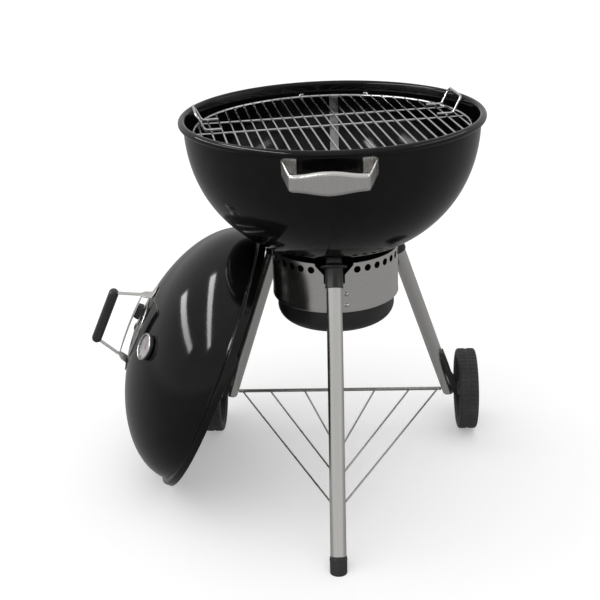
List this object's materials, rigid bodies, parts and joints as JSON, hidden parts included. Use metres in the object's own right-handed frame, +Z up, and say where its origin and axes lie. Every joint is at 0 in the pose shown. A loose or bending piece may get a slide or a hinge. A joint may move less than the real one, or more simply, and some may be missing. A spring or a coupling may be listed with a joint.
{
  "type": "kettle charcoal grill",
  "caption": "Round kettle charcoal grill on a wheeled tripod, with its domed lid taken off and leaning beside it, lift-out grates and an ash bucket.",
  "frame": {"origin": "middle of the bounding box in plan, on the floor; the bowl's upright axis stands at x 0.098 m, y 0.029 m", "axes": "+Z up; -Y is the front, where the single footed leg and one bowl handle are; +X is the viewer's right from the front, and the taken-off lid leans at -X"},
  "size_m": [0.8031, 0.7172, 0.7764],
  "materials": {
    "enamel": "gloss black porcelain enamel on steel",
    "stainless": "brushed stainless steel",
    "chrome": "bright plated steel",
    "zinc": "dull zinc-plated steel",
    "black_paint": "satin black heat-proof paint on steel",
    "black_plastic": "moulded black heat-proof plastic",
    "tread": "matte black solid rubber",
    "dial_paint": "matte painted dial",
    "needle_paint": "satin red paint",
    "clear_glass": "clear glass"
  },
  "bodies": {
    "stand": {"ash_ring": "stainless", "axle_bolt_left": "zinc", "axle_bolt_right": "zinc", "axle_bracket_left": "black_plastic", "axle_bracket_right": "black_plastic", "axle_washer_left": "zinc", "axle_washer_right": "zinc", "bottom_rack": "stainless", "bowl": "enamel", "bowl_handle_front": "stainless", "bowl_handle_rear": "stainless", "foot_cap": "black_plastic", "grate_bracket_1": "zinc", "grate_bracket_2": "zinc", "grate_bracket_3": "zinc", "handle_screw_front_left": "chrome", "handle_screw_front_right": "chrome", "handle_screw_rear_left": "chrome", "handle_screw_rear_right": "chrome", "leg_front": "stainless", "leg_left": "stainless", "leg_right": "stainless", "leg_socket_front": "black_paint", "leg_socket_left": "black_paint", "leg_socket_right": "black_paint", "ring_rivet_lower": "chrome", "ring_rivet_upper": "chrome", "ring_stay_left": "zinc", "ring_stay_right": "zinc"},
    "lid": {"lid_shell": "enamel", "lid_handle_arm_lower": "stainless", "lid_handle_arm_upper": "stainless", "lid_handle_grip": "black_plastic", "lid_screw_lower": "chrome", "lid_screw_upper": "chrome", "handle_heat_shield": "stainless", "damper_rivet": "chrome", "thermometer_bezel": "chrome", "thermometer_case": "chrome", "thermometer_dial": "dial_paint", "thermometer_glass": "clear_glass", "thermometer_stem": "zinc"},
    "lid_damper": {"lid_damper": "stainless", "damper_knob": "black_plastic"},
    "needle": {"thermometer_needle": "needle_paint"},
    "cooking_grate": {"cooking_grate": "chrome", "grate_handle_left": "chrome", "grate_handle_right": "chrome"},
    "charcoal_grate": {"charcoal_grate": "zinc"},
    "sweeper": {"sweeper_blades": "zinc", "sweeper_shaft": "zinc", "sweeper_collar": "zinc", "sweeper_lever": "zinc", "sweeper_knob": "black_plastic"},
    "ash_bucket": {"ash_bucket": "black_paint"},
    "wheel_left": {"tyre_left": "tread", "wheel_hub_left": "black_plastic"},
    "wheel_right": {"tyre_right": "tread", "wheel_hub_right": "black_plastic"}
  },
  "joints": [
    {"name": "wheel_left_spin", "type": "hinge", "parent": "stand", "child": "wheel_left", "pos_m": [-0.18355, 0.21165, 0.089], "axis": [1, 0, 0], "continuous": true},
    {"name": "wheel_right_spin", "type": "hinge", "parent": "stand", "child": "wheel_right", "pos_m": [0.37945, 0.21165, 0.089], "axis": [1, 0, 0], "continuous": true},
    {"name": "lid_lift", "type": "slide", "parent": "stand", "child": "lid", "axis": [-0.9075, -0.0735, 0.4136], "range_m": [0, 0.3]},
    {"name": "lid_damper_turn", "type": "hinge", "parent": "lid", "child": "lid_damper", "pos_m": [-0.30965, 0.03484, 0.32878], "axis": [-0.9075, -0.0735, 0.4136], "range_deg": [0, 45]},
    {"name": "thermometer_needle_turn", "type": "hinge", "parent": "lid", "child": "needle", "pos_m": [-0.26716, -0.10283, 0.34585], "axis": [-0.7903, -0.4151, 0.4508], "range_deg": [-220, 0]},
    {"name": "cooking_grate_lift", "type": "slide", "parent": "stand", "child": "cooking_grate", "axis": [0, 0, 1], "range_m": [0, 0.3]},
    {"name": "charcoal_grate_lift", "type": "slide", "parent": "stand", "child": "charcoal_grate", "axis": [0, 0, 1], "range_m": [0, 0.1]},
    {"name": "sweeper_swing", "type": "hinge", "parent": "stand", "child": "sweeper", "pos_m": [0.09795, 0.02865, 0.49], "axis": [0, 0, 1], "range_deg": [-35, 35]},
    {"name": "ash_bucket_drop", "type": "slide", "parent": "stand", "child": "ash_bucket", "axis": [0, 0, -1], "range_m": [0, 0.15]}
  ]
}
